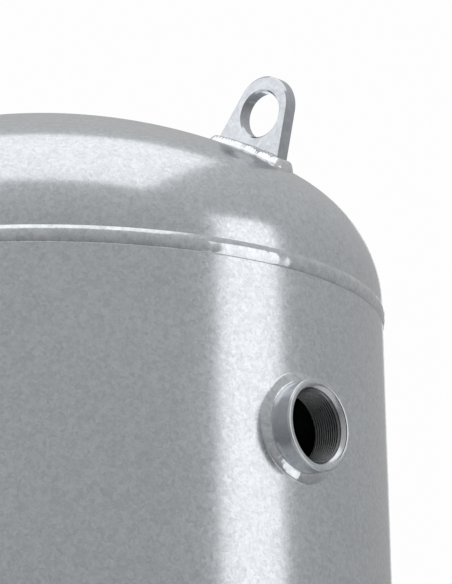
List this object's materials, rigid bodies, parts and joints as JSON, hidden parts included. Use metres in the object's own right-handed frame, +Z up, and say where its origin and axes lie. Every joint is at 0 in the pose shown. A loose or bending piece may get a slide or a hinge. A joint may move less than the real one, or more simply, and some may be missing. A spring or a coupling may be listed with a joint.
{
  "type": "air receiver tank",
  "caption": "Upright galvanised compressed-air receiver with dished heads, tapped side ports, lifting lugs, a handhole and bolt-down legs.",
  "frame": {"origin": "centre of the anchor bolt circle, on the floor plane under the feet", "axes": "+Z up along the tank axis; -Y towards the port line; +X towards the handhole"},
  "size_m": [0.6677, 0.638, 2.0919],
  "materials": {
    "galvanised_sheet": "hot-dip galvanised, fine spangle",
    "galvanised_plate": "hot-dip galvanised, smooth grey",
    "galvanised_boss": "hot-dip galvanised turned steel",
    "galvanised_weld": "hot-dip galvanised weld bead, shiny",
    "zinc_plated_fastener": "zinc plated",
    "plate_aluminium": "satin, blank",
    "gasket_rubber": "black moulded rubber"
  },
  "bodies": {
    "vessel": {"bottom_girth_weld": "galvanised_weld", "bottom_head": "galvanised_sheet", "crown_boss": "galvanised_boss", "crown_boss_weld": "galvanised_weld", "drain_boss": "galvanised_boss", "drain_boss_weld": "galvanised_weld", "earthing_tab": "galvanised_plate", "earthing_tab_weld": "galvanised_weld", "foot_plate_1": "galvanised_plate", "foot_plate_2": "galvanised_plate", "foot_plate_3": "galvanised_plate", "foot_weld_1": "galvanised_weld", "foot_weld_2": "galvanised_weld", "foot_weld_3": "galvanised_weld", "front_lifting_lug": "galvanised_plate", "front_lug_weld": "galvanised_weld", "gauge_port_boss": "galvanised_boss", "gauge_port_weld": "galvanised_weld", "handhole_neck": "galvanised_plate", "handhole_neck_weld": "galvanised_weld", "handhole_washer": "zinc_plated_fastener", "handhole_yoke": "galvanised_plate", "leg_post_1": "galvanised_plate", "leg_post_2": "galvanised_plate", "leg_post_3": "galvanised_plate", "leg_weld_1": "galvanised_weld", "leg_weld_2": "galvanised_weld", "leg_weld_3": "galvanised_weld", "lower_port_boss": "galvanised_boss", "lower_port_weld": "galvanised_weld", "nameplate": "plate_aluminium", "nameplate_bracket": "galvanised_plate", "nameplate_bracket_welds": "galvanised_weld", "nameplate_rivets": "plate_aluminium", "rear_lifting_lug": "galvanised_plate", "rear_lug_weld": "galvanised_weld", "rear_port_boss": "galvanised_boss", "rear_port_weld": "galvanised_weld", "shell": "galvanised_sheet", "shell_seam_weld": "galvanised_weld", "top_girth_weld": "galvanised_weld", "top_head": "galvanised_sheet", "upper_port_boss": "galvanised_boss", "upper_port_weld": "galvanised_weld"},
    "handhole_closure": {"handhole_cover": "galvanised_plate", "handhole_gasket": "gasket_rubber", "handhole_stud": "zinc_plated_fastener"},
    "handhole_nut": {"handhole_nut": "zinc_plated_fastener"}
  },
  "joints": [
    {"name": "nut_turn", "type": "hinge", "parent": "vessel", "child": "handhole_nut", "pos_m": [0.34, 0, 0.7], "axis": [1, 0, 0], "range_deg": [0, 3600]},
    {"name": "cover_release", "type": "slide", "parent": "vessel", "child": "handhole_closure", "axis": [-1, 0, 0], "range_m": [0, 0.02]}
  ],
  "couplings": [
    {"joint": "nut_turn", "follows": "cover_release", "rad_per_m": 3141.6}
  ]
}
